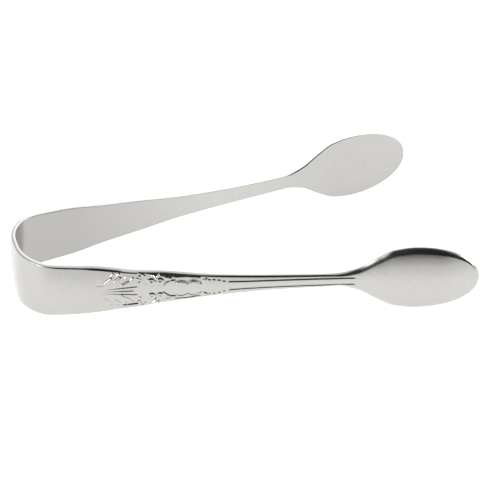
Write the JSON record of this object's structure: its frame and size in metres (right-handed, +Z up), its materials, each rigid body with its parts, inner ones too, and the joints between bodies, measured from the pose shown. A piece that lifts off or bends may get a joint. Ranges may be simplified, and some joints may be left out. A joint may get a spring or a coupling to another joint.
{
  "type": "ice tongs",
  "caption": "Bow-shaped spring tongs with decorated tapering handles and a shallow spoon bowl on each arm, for lifting ice or sugar lumps.",
  "frame": {"origin": "middle of the bounding box in plan, on the table that the tongs lie on", "axes": "+X from the bow to the tips, +Y from the front arm to the rear arm, +Z up from the table, across the strip's width"},
  "size_m": [0.1164, 0.0724, 0.018],
  "materials": {
    "steel": "stainless steel with a soft satin polish"
  },
  "bodies": {
    "bow_crown": {"bow_crown": "steel"},
    "front_shoulder": {"front_shoulder": "steel"},
    "front_arm": {"front_handle": "steel", "front_bowl": "steel"},
    "rear_shoulder": {"rear_shoulder": "steel"},
    "rear_arm": {"rear_handle": "steel", "rear_bowl": "steel"}
  },
  "joints": [
    {"name": "front_arm_flex", "type": "hinge", "parent": "front_shoulder", "child": "front_arm", "pos_m": [-0.04881, -0.01429, 0.00763], "axis": [-0.0151, 0, 0.9999], "range_deg": [-1.5, 8.8], "stiffness_Nm_per_rad": 6},
    {"name": "front_shoulder_flex", "type": "hinge", "parent": "bow_crown", "child": "front_shoulder", "pos_m": [-0.0566, -0.00595, 0.00752], "axis": [-0.0151, 0, 0.9999], "range_deg": [-1.5, 8.8], "stiffness_Nm_per_rad": 6},
    {"name": "rear_shoulder_flex", "type": "hinge", "parent": "bow_crown", "child": "rear_shoulder", "pos_m": [-0.0566, 0.00595, 0.00752], "axis": [0.0151, 0, -0.9999], "range_deg": [-1.5, 8.8], "stiffness_Nm_per_rad": 6},
    {"name": "rear_arm_flex", "type": "hinge", "parent": "rear_shoulder", "child": "rear_arm", "pos_m": [-0.04881, 0.01429, 0.00763], "axis": [0.0151, 0, -0.9999], "range_deg": [-1.5, 8.8], "stiffness_Nm_per_rad": 6}
  ],
  "couplings": [
    {"joint": "front_shoulder_flex", "follows": "front_arm_flex", "ratio": 1},
    {"joint": "rear_shoulder_flex", "follows": "front_arm_flex", "ratio": 1},
    {"joint": "rear_arm_flex", "follows": "front_arm_flex", "ratio": 1}
  ]
}
